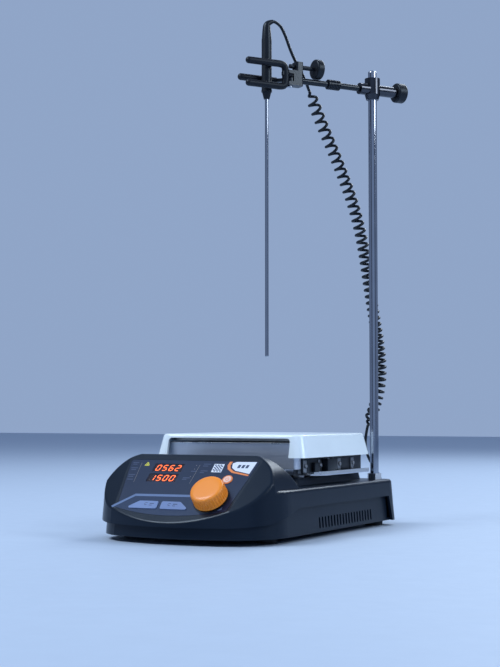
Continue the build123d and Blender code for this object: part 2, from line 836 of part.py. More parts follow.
fuse_radius = 4.0
with BuildPart() as fuse_holder:
    with BuildSketch(rear_plane(rear_face - 26)):
        with Locations(fuse_at):
            Circle(6.1)
    extrude(amount=26)
    with BuildSketch(rear_plane(rear_face)):
        with Locations(fuse_at):
            Circle(8)
    extrude(amount=1.5)
    with BuildSketch(rear_plane(rear_face - 24)):
        with Locations(fuse_at):
            Circle(fuse_radius + 0.1)
    extrude(amount=30, mode=Mode.SUBTRACT)
save(fuse_holder.part, "fuse_holder")

with BuildPart() as fuse_carrier:
    with BuildSketch(rear_plane(rear_face - 23)):
        with Locations(fuse_at):
            Circle(fuse_radius)
    extrude(amount=23 + 2)
    with BuildSketch(rear_plane(rear_face + 1.8)):
        with Locations(fuse_at):
            Circle(6.4)
    extrude(amount=3.6)
save(fuse_carrier.part, "fuse_carrier")

rocker_pivot_y = rear_face - 3.5
rocker_half = 5.1
rocker_turn = 9.0
with BuildPart() as switch_frame:
    with BuildSketch(rear_plane(rear_face)):
        with Locations(switch_at):
            RectangleRounded(15.5, 22, 1)
    extrude(amount=1.6)
    with BuildSketch(rear_plane(rear_face - 18)):
        with Locations(switch_at):
            Rectangle(13.2, 19.8)
    extrude(amount=18)
    with BuildSketch(rear_plane(rear_face - 14)):
        with Locations(switch_at):
            Rectangle(2 * rocker_half + 0.6, 18.2)
    extrude(amount=20, mode=Mode.SUBTRACT)
    with BuildSketch(Plane.YZ.offset(switch_x - 6.0)):
        with Locations((rocker_pivot_y, connector_z)):
            Circle(1.2 + running_gap)
    extrude(amount=12.0, mode=Mode.SUBTRACT)
save(switch_frame.part, "switch_frame")

rocker_points = [(-4, -4), (-4, 4), (5.2, 7.2), (3.4, 0), (5.2, -7.2)]
rest_turn = radians(rocker_turn)
rocker_rest = [(rocker_pivot_y + y * cos(rest_turn) - z * sin(rest_turn),
                connector_z + y * sin(rest_turn) + z * cos(rest_turn)) for y, z in rocker_points]
with BuildPart() as rocker:
    with BuildSketch(Plane.YZ.offset(switch_x - rocker_half)):
        with BuildLine():
            Polyline(*rocker_rest, close=True)
        make_face()
    extrude(amount=2 * rocker_half)
    with BuildSketch(Plane.YZ.offset(switch_x - 5.8)):
        with Locations((rocker_pivot_y, connector_z)):
            Circle(1.2)
    extrude(amount=11.6)
save(rocker.part, "rocker")

with BuildPart() as probe_socket:
    with BuildSketch(rear_plane(rear_face)):
        with Locations(socket_at):
            Circle(9)
    extrude(amount=2)
    with BuildSketch(rear_plane(rear_face - 16)):
        with Locations(socket_at):
            Circle(6.9)
    extrude(amount=16)
    with BuildSketch(rear_plane(rear_face - 12)):
        with Locations(socket_at):
            Circle(4.6)
    extrude(amount=20, mode=Mode.SUBTRACT)
save(probe_socket.part, "probe_socket")

plug_back = 150.0
relief_back = 170.0
with BuildPart() as probe_plug:
    with BuildSketch(rear_plane(rear_face - 11)):
        with Locations(socket_at):
            Circle(4.5)
    extrude(amount=13)
    with BuildSketch(rear_plane(rear_face + 2)):
        with Locations(socket_at):
            Circle(6.5)
    extrude(amount=plug_back - rear_face - 2)
    with BuildSketch(rear_plane(plug_back)):
        with Locations(socket_at):
            Circle(4.6)
    with BuildSketch(rear_plane(relief_back)):
        with Locations(socket_at):
            Circle(2.4)
    loft()
save(probe_plug.part, "probe_plug")

# ---- Stand rod and clamp -------------------------------------------------------------

reach = ((probe_x - rod_x)**2 + (probe_y - rod_y)**2)**0.5
arm_x = (probe_x - rod_x) / reach
arm_y = (probe_y - rod_y) / reach


def level(z):
    """Level plane at z with its origin on the rod, x along the clamp's arm."""
    return Plane(origin=(rod_x, rod_y, z), x_dir=(arm_x, arm_y, 0), z_dir=(0, 0, 1))


def across(a, z):
    """Plane square to the arm, a from the rod's axis and at height z, facing the probe."""
    origin = (rod_x + a * arm_x, rod_y + a * arm_y, z)
    return Plane(origin=origin, x_dir=(-arm_y, arm_x, 0), z_dir=(arm_x, arm_y, 0))


def rim_of(screw):
    """The two rims of a thumbscrew's disc."""
    return [edge for edge in screw.edges().filter_by(GeomType.CIRCLE) if abs(edge.radius - disc_radius) < 0.01]


with BuildPart() as rod_socket:
    with BuildSketch(Plane.XY.offset(rod_low - 2)):
        with Locations((rod_x, rod_y)):
            Circle(rod_radius + 3)
    extrude(amount=deck - wall - rod_low + 2)
    with BuildSketch(Plane.XY.offset(deck - wall - 3)):
        with Locations((rod_x, rod_y)):
            Circle(rod_radius + 5)
    extrude(amount=3)
    with BuildSketch(Plane.XY.offset(rod_low)):
        with Locations((rod_x, rod_y)):
            Circle(rod_radius + rod_gap)
    extrude(amount=40, mode=Mode.SUBTRACT)
save(rod_socket.part, "rod_socket")

with BuildPart() as rod_nut:
    with BuildSketch(Plane.XY.offset(deck)):
        with Locations((rod_x, rod_y)):
            RegularPolygon(rod_radius + 3.6, 6)
            Circle(rod_radius + rod_gap, mode=Mode.SUBTRACT)
    extrude(amount=7)
save(rod_nut.part, "rod_nut")

with BuildPart() as support_rod:
    with BuildSketch(Plane.XY.offset(rod_low)):
        with Locations((rod_x, rod_y)):
            Circle(rod_radius)
    extrude(amount=rod_top - rod_low)
    fillet(support_rod.edges().sort_by(Axis.Z)[-1], rod_radius / 2)
save(support_rod.part, "support_rod")

boss_taper_top = boss_low + 6
arm_start = 8.0
head_start = 95.0
head_end = 116.0
head_half = 6.0
cheek = 4.0
jaw_low = clamp_z - 3.0
jaw_high = clamp_z + 6.0
with BuildPart() as clamp_boss:
    with BuildSketch(level(boss_taper_top)):
        Circle(boss_radius)
    extrude(amount=boss_top - boss_taper_top)
    with BuildSketch(level(boss_low)):
        Circle(boss_foot_radius)
    with BuildSketch(level(boss_taper_top)):
        Circle(boss_radius)
    loft()
    with BuildSketch(across(5, clamp_z)):
        Circle(6.6)
    extrude(amount=13)
    with BuildSketch(across(-5, clamp_z)):
        Circle(6.35)
    extrude(amount=-25)
    with BuildSketch(level(boss_low - 1)):
        Circle(rod_radius + rod_gap)
    extrude(amount=40, mode=Mode.SUBTRACT)
    with BuildSketch(across(arm_start, clamp_z)):
        Circle(arm_radius)
    extrude(amount=20, mode=Mode.SUBTRACT)
    with BuildSketch(across(-4, clamp_z)):
        Circle(3 + running_gap)
    extrude(amount=-30, mode=Mode.SUBTRACT)
save(clamp_boss.part, "clamp_boss")

with BuildPart() as pressure_pad:
    with BuildSketch(across(-rod_radius - 0.3, clamp_z)):
        Circle(3.0 - running_gap)
    extrude(amount=-2.6)
save(pressure_pad.part, "pressure_pad")

with BuildPart() as boss_screw:
    with BuildSketch(across(-rod_radius - 4.2, clamp_z)):
        Circle(3)
    extrude(amount=-26)
    with BuildSketch(across(-31, clamp_z)):
        Circle(disc_radius)
    extrude(amount=-12)
    fillet(rim_of(boss_screw.part), disc_edge)
save(boss_screw.part, "boss_screw")

with BuildPart() as clamp_arm:
    with BuildSketch(across(arm_start, clamp_z)):
        Circle(arm_radius)
    extrude(amount=head_start + 2 - arm_start)
    with BuildSketch(level(jaw_low - cheek)):
        with Locations(((head_start + head_end) / 2, 0)):
            RectangleRounded(head_end - head_start, 2 * head_half, 2.5)
    extrude(amount=jaw_high - jaw_low + 2 * cheek)
    with BuildSketch(level(jaw_high + cheek - 1)):
        with Locations((head_start + 4.5, 0)):
            RectangleRounded(9, 2 * head_half, 2)
    extrude(amount=screw_z + 5 - jaw_high - cheek + 1)
    with BuildSketch(level(jaw_low)):
        with Locations((pivot_a, 0)):
            Circle(6.5)
        with Locations((head_end, 0)):
            Rectangle(12, 2 * head_half + 2)
    extrude(amount=jaw_high - jaw_low, mode=Mode.SUBTRACT)
    with BuildSketch(level(jaw_low - cheek - 1)):
        with Locations((pivot_a, 0)):
            Circle(pin_radius)
    extrude(amount=jaw_high - jaw_low + 2 * cheek + 2, mode=Mode.SUBTRACT)
    with BuildSketch(across(head_start - 1, screw_z)):
        Circle(screw_radius + running_gap)
    extrude(amount=14, mode=Mode.SUBTRACT)
save(clamp_arm.part, "clamp_arm")

with BuildPart() as arm_collar:
    with BuildSketch(across(45, clamp_z)):
        Circle(5.75)
        Circle(arm_radius, mode=Mode.SUBTRACT)
    extrude(amount=16)
save(arm_collar.part, "arm_collar")

with BuildPart() as jaw_pin:
    with BuildSketch(level(jaw_low - cheek - 1.5)):
        with Locations((pivot_a, 0)):
            Circle(3.2)
    extrude(amount=1.5)
    with BuildSketch(level(jaw_low - cheek)):
        with Locations((pivot_a, 0)):
            Circle(pin_radius)
    extrude(amount=jaw_high - jaw_low + 2 * cheek)
save(jaw_pin.part, "jaw_pin")

with BuildPart() as adjusting_screw:
    with BuildSketch(across(66, screw_z)):
        Circle(screw_radius)
    extrude(amount=pivot_a - 66)
    with BuildSketch(across(69.5, screw_z)):
        Circle(disc_radius)
    extrude(amount=9)
    fillet(rim_of(adjusting_screw.part), disc_edge)
save(adjusting_screw.part, "adjusting_screw")

grip = handle_radius + grip_gap + sleeve_radius
yoke_a = 122.0
lug_height = 4.0


def lug_outline(hand):
    """The flat lug that carries a jaw from its pivot out to its prongs."""
    with BuildSketch() as lug:
        with BuildLine():
            Polyline((pivot_a - 3, hand * 4.0), (yoke_a - 3, hand * (grip + 2.4)), (yoke_a + 2.4, hand * (grip + 2.4)),
                     (yoke_a + 2.4, hand * (grip - 2.4)), (pivot_a + 4, hand * -2.0), close=True)
        make_face()
        with Locations((pivot_a, 0)):
            Circle(5.5)
            Circle(pin_radius + running_gap, mode=Mode.SUBTRACT)
    return lug.sketch


with BuildPart() as fork_jaw:
    with BuildSketch(level(jaw_high - lug_height - 0.3)):
        add(lug_outline(1))
    extrude(amount=lug_height)
    with BuildSketch(level(prong_low)):
        with Locations((yoke_a, grip)):
            Circle(prong_radius)
    extrude(amount=prong_high - prong_low)
    for height in (prong_low, prong_high):
        with BuildSketch(across(yoke_a, height)):
            with Locations((grip, 0)):
                Circle(prong_radius)
        extrude(amount=prong_tip - yoke_a)
save(fork_jaw.part, "fork_jaw")

prong_middle = jaw_low + 0.3 + lug_height / 2
with BuildPart() as single_jaw:
    with BuildSketch(level(jaw_low + 0.3)):
        add(lug_outline(-1))
    extrude(amount=lug_height)
    with BuildSketch(across(yoke_a, prong_middle)):
        with Locations((-grip, 0)):
            Circle(prong_radius)
    extrude(amount=prong_tip - yoke_a)
save(single_jaw.part, "single_jaw")

sleeve_start = yoke_a + 7
for sleeve_name, hand, heights in (("fork_sleeves", 1, (prong_low, prong_high)), ("single_sleeve", -1, (prong_middle,))):
    with BuildPart() as sleeves:
        for height in heights:
            with BuildSketch(across(sleeve_start, height)):
                with Locations((hand * grip, 0)):
                    Circle(sleeve_radius)
            extrude(amount=prong_tip + 2.5 - sleeve_start)
            with BuildSketch(across(sleeve_start, height)):
                with Locations((hand * grip, 0)):
                    Circle(prong_radius)
            extrude(amount=prong_tip - sleeve_start, mode=Mode.SUBTRACT)
    save(sleeves.part, sleeve_name)

# ---- Temperature probe ---------------------------------------------------------------


def probe_level(z):
    """Level plane at z with its origin on the probe's axis."""
    return Plane(origin=(probe_x, probe_y, z), x_dir=(1, 0, 0), z_dir=(0, 0, 1))


with BuildPart() as probe_tube:
    with BuildSketch(probe_level(tube_tip)):
        Circle(tube_radius)
    extrude(amount=tube_head + 8 - tube_tip)
    fillet(probe_tube.edges().sort_by(Axis.Z)[0], 1.8)
save(probe_tube.part, "probe_tube")

with BuildPart() as probe_handle:
    with BuildSketch(probe_level(tube_head)):
        Circle(3.2)
    with BuildSketch(probe_level(ring_z - 2)):
        Circle(5.2)
    loft()
    with BuildSketch(probe_level(ring_z - 2)):
        Circle(6)
    extrude(amount=2)
    with BuildSketch(probe_level(ring_z)):
        Circle(handle_radius)
    extrude(amount=handle_top - ring_z)
    with BuildSketch(probe_level(tube_head - 1)):
        Circle(tube_radius)
    extrude(amount=9, mode=Mode.SUBTRACT)
save(probe_handle.part, "probe_handle")



def drawn_up(points):
    """A lead's points, drawn up with the clamp while the foot of the curly stretch stays."""
    rise = (clamp_z - lead_clamp_z) / (lead_clamp_z - coil_foot)
    return [(x, y, z + rise * (min(z, lead_clamp_z) - coil_foot)) for x, y, z in points]


boot_radius = 3.2
boot_route = drawn_up([(probe_x, probe_y, 548.0), (probe_x, probe_y, 567.0), (12.8, -5.4, 569.5)])
cord_tube("cord_boot", boot_route, boot_radius)

# ---- Probe lead ----------------------------------------------------------------------

coil_route = [(30.9, 51.0, 499.6), (34.2, 68.5, 473.0), (40.5, 92.0, 439.5), (46.4, 114.4, 405.0),
              (52.0, 134.0, 369.0), (56.0, 147.5, 328.5), (58.5, 157.5, 284.0), (61.5, 165.5, 246.0),
              (64.5, 172.0, 214.0), (66.4, 175.2, 184.0), (65.0, 173.5, 158.0), (61.2, 166.5, 134.5),
              (57.2, 155.0, coil_foot)]
lead_route = [(13.5, -4.4, 569.5), (17.5, 1.5, 568.0), (20.5, 10.0, 556.5), (22.0, 20.0, 541.0),
              (25.0, 31.0, 526.5), (29.2, 42.2, 513.0), (30.84, 50.66, 500.1)]
tail_route = [(57.2, 155.0, coil_foot), (55.0, 150.5, 96.0), (56.0, 155.0, 79.0), (57.5, 170.0, 65.0),
              (59.0, 186.0, 54.0), (60.0, 192.0, 40.0), (60.0, 184.0, 30.0), (60.0, relief_back, connector_z)]
cord_tube("lead_upper", drawn_up(lead_route), lead_radius)
cord_tube("lead_coil", drawn_up(coil_route), coil_radius)
cord_tube("lead_tail", tail_route, lead_radius)
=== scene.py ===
"""Looks for a bench magnetic stirrer with a ceramic hot plate, a stand and a probe."""

import math

import bmesh
import bpy
from bpy.props import FloatProperty, FloatVectorProperty, IntProperty, StringProperty
from bpy.types import Operator, Panel, PropertyGroup
from mathutils import Matrix, Vector


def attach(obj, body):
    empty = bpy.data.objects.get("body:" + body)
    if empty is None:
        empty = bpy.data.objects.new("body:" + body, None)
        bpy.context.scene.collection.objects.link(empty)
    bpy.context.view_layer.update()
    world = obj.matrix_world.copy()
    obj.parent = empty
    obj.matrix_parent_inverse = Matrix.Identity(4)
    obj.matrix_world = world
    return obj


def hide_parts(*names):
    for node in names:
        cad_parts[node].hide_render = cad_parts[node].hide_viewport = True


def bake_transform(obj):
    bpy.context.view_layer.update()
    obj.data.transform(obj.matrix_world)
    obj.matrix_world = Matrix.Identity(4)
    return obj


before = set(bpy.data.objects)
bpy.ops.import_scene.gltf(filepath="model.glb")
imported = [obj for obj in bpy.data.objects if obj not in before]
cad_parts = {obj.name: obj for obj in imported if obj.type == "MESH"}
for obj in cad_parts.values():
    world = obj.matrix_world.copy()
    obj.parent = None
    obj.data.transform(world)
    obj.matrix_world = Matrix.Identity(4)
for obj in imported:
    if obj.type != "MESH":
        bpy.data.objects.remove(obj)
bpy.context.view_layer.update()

bl_info = {
    "name": "Bench stirrer looks",
    "version": (1, 0, 0),
    "blender": (4, 5, 0),
    "location": "View3D > Sidebar > Stirrer",
    "description": "Finishes, printed panel, knob, leads and stage of a magnetic stirrer",
    "category": "Object",
}

IN_MM = Matrix.Scale(0.001, 4)
# The sloping control panel: across, up the slope and out of it, from its middle.
PANEL = IN_MM @ Matrix(
    ((1, 0, 0, 0), (0, 0.7211, -0.6928, -182.04), (0, 0.6928, 0.7211, 55), (0, 0, 0, 1))
)
# The clamp's arm: away from the rod, across it and up, from the rod's middle.
ARM = IN_MM @ Matrix(
    ((-0.5744, 0.8186, 0, 88), (-0.8186, -0.5744, 0, 102), (0, 0, 1, 0), (0, 0, 0, 1))
)

# The lead's three stretches, in metres.
UPPER_ROUTE = [
    (0.0135, -0.0044, 0.5695), (0.0175, 0.0015, 0.568), (0.0205, 0.01, 0.5565),
    (0.022, 0.02, 0.541), (0.025, 0.031, 0.5265), (0.0292, 0.0422, 0.513),
    (0.03084, 0.05066, 0.5001),
]
COIL_ROUTE = [
    (0.0309, 0.051, 0.4996), (0.0342, 0.0685, 0.473), (0.0405, 0.092, 0.4395),
    (0.0464, 0.1144, 0.405), (0.052, 0.134, 0.369), (0.056, 0.1475, 0.3285),
    (0.0585, 0.1575, 0.284), (0.0615, 0.1655, 0.246), (0.0645, 0.172, 0.214),
    (0.0664, 0.1752, 0.184), (0.065, 0.1735, 0.158), (0.0612, 0.1665, 0.1345),
    (0.0572, 0.155, 0.113),
]
TAIL_ROUTE = [
    (0.0572, 0.155, 0.113), (0.055, 0.1505, 0.096), (0.056, 0.155, 0.079),
    (0.0575, 0.17, 0.065), (0.059, 0.186, 0.054), (0.06, 0.192, 0.04),
    (0.06, 0.184, 0.03), (0.06, 0.17, 0.028),
]
BOOT_ROUTE = [
    (0.008, -0.012, 0.548), (0.008, -0.012, 0.5585), (0.008, -0.012, 0.567),
    (0.0128, -0.0054, 0.5695),
]

# The foot and top of most prints over the panel, in millimetres.
INK = (0.0, 0.07)
# The radius of the vinyl sleeves on the clamp's fork and finger, in metres.
SLEEVE_RADIUS = 0.0039
SEGMENTS = {"0": "abcdef", "1": "bc", "2": "abged", "5": "afgcd", "6": "afgedc"}


# ---- Materials -------------------------------------------------------------------------


def shader_of(name, colour, roughness, metallic=0.0, coat=0.0):
    """A new material, its node tree, its shader and the object's own coordinates."""
    material = bpy.data.materials.new(name)
    material.use_nodes = True
    material.diffuse_color = (*colour, 1)
    tree = material.node_tree
    shader = tree.nodes["Principled BSDF"]
    shader.inputs["Base Color"].default_value = (*colour, 1)
    shader.inputs["Roughness"].default_value = roughness
    shader.inputs["Metallic"].default_value = metallic
    shader.inputs["Coat Weight"].default_value = coat
    shader.inputs["Coat Roughness"].default_value = 0.12
    place = tree.nodes.new("ShaderNodeTexCoord").outputs["Object"]
    return material, tree, shader, place


def noise(tree, place, scale, detail=2.0, stretch=None):
    """A noise pattern on the object's own coordinates, stretched where asked."""
    if stretch:
        turn = tree.nodes.new("ShaderNodeMapping")
        turn.inputs["Scale"].default_value = stretch
        tree.links.new(place, turn.inputs["Vector"])
        place = turn.outputs["Vector"]
    pattern = tree.nodes.new("ShaderNodeTexNoise")
    pattern.inputs["Scale"].default_value = scale
    pattern.inputs["Detail"].default_value = detail
    tree.links.new(place, pattern.inputs["Vector"])
    return pattern.outputs["Fac"]


def spread_to(tree, value, low, high):
    """The middle of a noise pattern, spread over a range."""
    spread = tree.nodes.new("ShaderNodeMapRange")
    spread.inputs["From Min"].default_value = 0.3
    spread.inputs["From Max"].default_value = 0.7
    spread.inputs["To Min"].default_value = low
    spread.inputs["To Max"].default_value = high
    tree.links.new(value, spread.inputs["Value"])
    return spread.outputs["Result"]


def tint(tree, shader, value, dark, light):
    """Base colour that wanders between two tones."""
    ramp = tree.nodes.new("ShaderNodeValToRGB")
    ramp.color_ramp.elements[0].position = 0.3
    ramp.color_ramp.elements[0].color = (*dark, 1)
    ramp.color_ramp.elements[1].position = 0.7
    ramp.color_ramp.elements[1].color = (*light, 1)
    tree.links.new(value, ramp.inputs["Fac"])
    tree.links.new(ramp.outputs["Color"], shader.inputs["Base Color"])


def raised(tree, shader, value, depth, strength=1.0):
    """Bump of that depth, in metres."""
    bump = tree.nodes.new("ShaderNodeBump")
    bump.inputs["Strength"].default_value = strength
    bump.inputs["Distance"].default_value = depth
    tree.links.new(value, bump.inputs["Height"])
    tree.links.new(bump.outputs["Normal"], shader.inputs["Normal"])


def tones(colour, spread):
    """A darker and a lighter tone of a colour."""
    return (
        [part * (1 - spread) for part in colour],
        [min(1, part * (1 + spread)) for part in colour],
    )


def moulded(
    name, colour, roughness, grain=900, depth=0.00002, spread=0.08, coat=0.0, uneven=0.05, gloss=0.5
):
    """Moulded plastic or rubber: fine spark-eroded grain and slightly uneven gloss."""
    material, tree, shader, place = shader_of(name, colour, roughness, coat=coat)
    shader.inputs["Specular IOR Level"].default_value = gloss
    shader.inputs["Specular Tint"].default_value = (0.72, 0.86, 1.0, 1)
    broad = noise(tree, place, 28, 3)
    tint(tree, shader, broad, *tones(colour, spread))
    tree.links.new(
        spread_to(tree, noise(tree, place, 60, 4), roughness - uneven, roughness + uneven),
        shader.inputs["Roughness"],
    )
    raised(tree, shader, noise(tree, place, grain, 2), depth)
    return material


def brushed(name, colour, roughness, stretch=(3, 260, 260), depth=0.00001, spread=0.12):
    """Sheet or machined metal with lines drawn along one direction."""
    material, tree, shader, place = shader_of(name, colour, roughness, metallic=1.0)
    lines = noise(tree, place, 12, 3, stretch)
    tint(tree, shader, noise(tree, place, 22, 4), *tones(colour, spread))
    tree.links.new(
        spread_to(tree, lines, roughness - 0.1, roughness + 0.14), shader.inputs["Roughness"]
    )
    raised(tree, shader, lines, depth)
    return material


def film(name, colour, roughness=0.34, gloss=0.3):
    """Printed film: even in colour, with a nearly even satin gloss."""
    return moulded(name, colour, roughness, 300, 0.000001, 0.02, 0.0, 0.015, gloss)


def polished(name, colour, roughness, spread=0.06):
    """Plated or polished metal with faint smudges."""
    material, tree, shader, place = shader_of(name, colour, roughness, metallic=1.0)
    smudge = noise(tree, place, 55, 5)
    tint(tree, shader, smudge, *tones(colour, spread))
    tree.links.new(
        spread_to(tree, smudge, roughness * 0.6, roughness * 1.8), shader.inputs["Roughness"]
    )
    raised(tree, shader, noise(tree, place, 140, 2), 0.000004)
    return material


def fibrous(name, colour, spread=0.25):
    """Mineral wool or winding: short matted strands."""
    material, tree, shader, place = shader_of(name, colour, 0.9)
    strands = noise(tree, place, 300, 6, (1, 1, 4))
    tint(tree, shader, strands, *tones(colour, spread))
    raised(tree, shader, strands, 0.0004)
    return material


def glowing(name, colour, strength):
    """A lit segment behind its lens."""
    material, tree, shader, place = shader_of(name, colour, 0.4)
    shader.inputs["Emission Color"].default_value = (*colour, 1)
    shader.inputs["Emission Strength"].default_value = strength
    tint(tree, shader, noise(tree, place, 500, 1), *tones(colour, 0.08))
    return material


FINISHES = {}


def finishes():
    """Every finish by its name, made once."""
    colours = bpy.context.scene.stirrer_finishes
    if not FINISHES:
        for name, maker, colour, *settings in (
            ("housing", moulded, colours.case_colour, 0.3, 700, 0.0000015, 0.04, 0.05, 0.02, 0.25),
            ("housing_lower", moulded, colours.case_colour,
             0.33, 700, 0.0000015, 0.04, 0.0, 0.02, 0.24),
            ("rubber", moulded, (0.016, 0.016, 0.018), 0.75, 700, 0.00005),
            ("overlay", film, colours.panel_colour),
            ("panel_fill", film, (0.014, 0.029, 0.075)),
            ("panel_band", film, (0.125, 0.185, 0.33)),
            ("panel_line", film, (0.2, 0.19, 0.19)),
            ("panel_white", film, (0.74, 0.79, 0.88)),
            ("panel_grey", film, (0.05, 0.07, 0.13)),
            ("panel_orange", film, (0.83, 0.25, 0.07)),
            ("panel_yellow", film, (0.72, 0.68, 0.08)),
            ("display", moulded, (0.018, 0.006, 0.006), 0.12, 300, 0.000004, 0.1, 0.6),
            ("segment_lit", glowing, (1.0, 0.13, 0.015), 1.6),
            ("segment_off", moulded, (0.02, 0.006, 0.006), 0.3, 500, 0.000004),
            ("circuit_board", moulded, (0.02, 0.13, 0.06), 0.45, 1200, 0.00003, 0.2),
            ("knob_orange", moulded, colours.knob_colour,
             0.36, 1600, 0.000006, 0.04, 0.1, 0.04, 0.4),
            ("button_pale", moulded, (0.86, 0.6, 0.5), 0.4, 1200, 0.00001),
            ("key_silver", moulded, colours.key_colour, 0.3, 1500, 0.000004, 0.04, 0.1, 0.02, 0.4),
            ("plate_enamel", moulded, colours.plate_colour, 0.22, 260, 0.00001, 0.015, 0.3, 0.03),
            ("mineral_wool", fibrous, (0.62, 0.6, 0.52)),
            ("copper", fibrous, (0.5, 0.19, 0.07)),
            ("heater", brushed, (0.42, 0.4, 0.38), 0.45, (200, 200, 3)),
            ("metal", brushed, (0.55, 0.56, 0.58), 0.35),
            ("dull_zinc", polished, (0.28, 0.29, 0.31), 0.35, 0.15),
            ("zinc", polished, (0.6, 0.61, 0.63), 0.3, 0.1),
            ("stainless", brushed, (0.64, 0.68, 0.75), 0.4, (2, 260, 260), 0.000006, 0.06),
            ("sheet_top", brushed, (0.34, 0.35, 0.37), 0.42, (2, 260, 260)),
            ("aluminium", brushed, (0.7, 0.71, 0.73), 0.4, (260, 260, 3)),
            ("chrome", polished, (0.36, 0.39, 0.45), 0.07, 0.03),
            ("black_metal", moulded, (0.006, 0.007, 0.01),
             0.3, 700, 0.000008, 0.1, 0.1, 0.04, 0.35),
            ("black_nickel", polished, (0.06, 0.065, 0.078), 0.16, 0.1),
            ("black_plastic", moulded, (0.007, 0.008, 0.011),
             0.4, 1100, 0.00001, 0.08, 0.0, 0.04, 0.32),
            ("cord", moulded, (0.006, 0.007, 0.01), 0.38, 1300, 0.00001, 0.08, 0.0, 0.04, 0.3),
            ("sleeve", moulded, (0.006, 0.006, 0.009), 0.46, 900, 0.00002, 0.1, 0.0, 0.04, 0.3),
            ("backdrop", moulded, (0.44, 0.53, 0.66), 0.6, 60, 0.00001, 0.01),
        ):
            FINISHES[name] = maker(name, tuple(colour), *settings)
    return FINISHES


def paint(finish, *nodes):
    """A CAD node's own faces take a finish."""
    for node in nodes:
        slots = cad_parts[node].data.materials
        if not slots:
            slots.append(None)
        for i in range(len(slots)):
            slots[i] = finishes()[finish]


# ---- Making pieces ---------------------------------------------------------------------


def settle(label, bm, body, slot, *names, sharp=35):
    """The bmesh as a finished piece on its body: merged, turned outwards and smooth-shaded."""
    bmesh.ops.remove_doubles(bm, verts=bm.verts, dist=1e-7)
    bmesh.ops.recalc_face_normals(bm, faces=bm.faces)
    mesh = bpy.data.meshes.new(label)
    bm.to_mesh(mesh)
    bm.free()
    return finish_piece(label, mesh, body, slot, *names, sharp=sharp)


def finish_piece(label, mesh, body, slot, *names, sharp=35):
    """A mesh as a piece, with its finishes and its body."""
    for name in names:
        mesh.materials.append(finishes()[name])
    mesh.polygons.foreach_set("use_smooth", [True] * len(mesh.polygons))
    mesh.set_sharp_from_angle(angle=math.radians(sharp))
    piece = bpy.data.objects.new(label, mesh)
    bpy.context.scene.collection.objects.link(piece)
    if body:
        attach(piece, body)
    return piece


def placed(bm, before, place, finish=0):
    """Moves what was added since before to its place, and gives it a finish."""
    fresh = [v for v in bm.verts if v not in before]
    for face in {f for v in fresh for f in v.link_faces}:
        face.material_index = finish
    bmesh.ops.transform(bm, matrix=place, verts=fresh)


def turned(bm, profile, place=IN_MM, finish=0, steps=48):
    """A turned shape: the profile of (radius, height) spun about the upright axis."""
    before = set(bm.verts)
    points = [bm.verts.new((radius, 0, height)) for radius, height in profile]
    edges = [bm.edges.new(pair) for pair in zip(points, points[1:])]
    bmesh.ops.spin(
        bm, geom=points + edges, cent=(0, 0, 0), axis=(0, 0, 1), angle=2 * math.pi,
        steps=steps, use_merge=True, use_duplicate=False,
    )
    bmesh.ops.remove_doubles(bm, verts=[v for v in bm.verts if v not in before], dist=1e-4)
    placed(bm, before, place, finish)


def block(bm, low, high, edge, place=IN_MM, finish=0):
    """A block between two corners, with rounded edges."""
    before = set(bm.verts)
    low, high = Vector(low), Vector(high)
    bmesh.ops.create_cube(
        bm, size=1, matrix=Matrix.LocRotScale((low + high) / 2, None, high - low)
    )
    edges = {e for v in bm.verts if v not in before for e in v.link_edges}
    bmesh.ops.bevel(
        bm, geom=list(edges), offset=edge, segments=3, affect="EDGES", profile=0.5, material=-1
    )
    placed(bm, before, place, finish)


def slab(bm, corners, low, high, place=PANEL, finish=0):
    """A flat shape between two heights over its plane."""
    before = set(bm.verts)
    face = bm.faces.new([bm.verts.new((x, y, low)) for x, y in corners])
    lifted = bmesh.ops.extrude_face_region(bm, geom=[face], use_keep_orig=True)["geom"]
    bmesh.ops.translate(
        bm, verts=[v for v in lifted if isinstance(v, bmesh.types.BMVert)], vec=(0, 0, high - low)
    )
    placed(bm, before, place, finish)


def ring_corners(x, y, radius, start=0.0, sweep=360.0, steps=40):
    """Points round a circle, or round part of one."""
    return [
        (
            x + radius * math.cos(math.radians(start + sweep * i / steps)),
            y + radius * math.sin(math.radians(start + sweep * i / steps)),
        )
        for i in range(steps + (sweep < 360))
    ]


def arc_slab(bm, x, y, inner, outer, start, sweep, low, high, place=PANEL, finish=0, steps=32):
    """A flat ring, or part of one, in short flat pieces that share their ends."""
    far, near = (ring_corners(x, y, r, start, sweep, steps) for r in (outer, inner))
    if sweep >= 360:
        far, near = far + far[:1], near + near[:1]
    for i in range(steps):
        slab(bm, [far[i], far[i + 1], near[i + 1], near[i]], low, high, place, finish)


def stroke(points, width):
    """The outline of a line of that width through the points."""
    left, right = [], []
    points = [Vector(p) for p in points]
    for i, point in enumerate(points):
        ways = []
        if i:
            ways.append((point - points[i - 1]).normalized())
        if i < len(points) - 1:
            ways.append((points[i + 1] - point).normalized())
        way = sum(ways, Vector((0, 0))).normalized()
        side = Vector((-way.y, way.x)) * width / 2 / max(0.5, way.dot(ways[0]))
        left.append(tuple(point + side))
        right.append(tuple(point - side))
    return left + right[::-1]


def spline_curve(label, points, radius, sizes=None, steps=6, sides=4):
    """A smooth curve whose control points are the route's."""
    curve = bpy.data.curves.new(label, "CURVE")
    curve.dimensions = "3D"
    curve.resolution_u = steps
    curve.render_resolution_u = 0
    spline = curve.splines.new("NURBS")
    spline.points.add(len(points) - 1)
    for i, point in enumerate(points):
        spline.points[i].co = (*point, 1)
        spline.points[i].radius = sizes[i] if sizes else 1.0
    spline.order_u = 3
    spline.use_endpoint_u = True
    curve.bevel_depth = radius
    curve.bevel_resolution = sides
    curve.use_fill_caps = radius > 0
    return curve


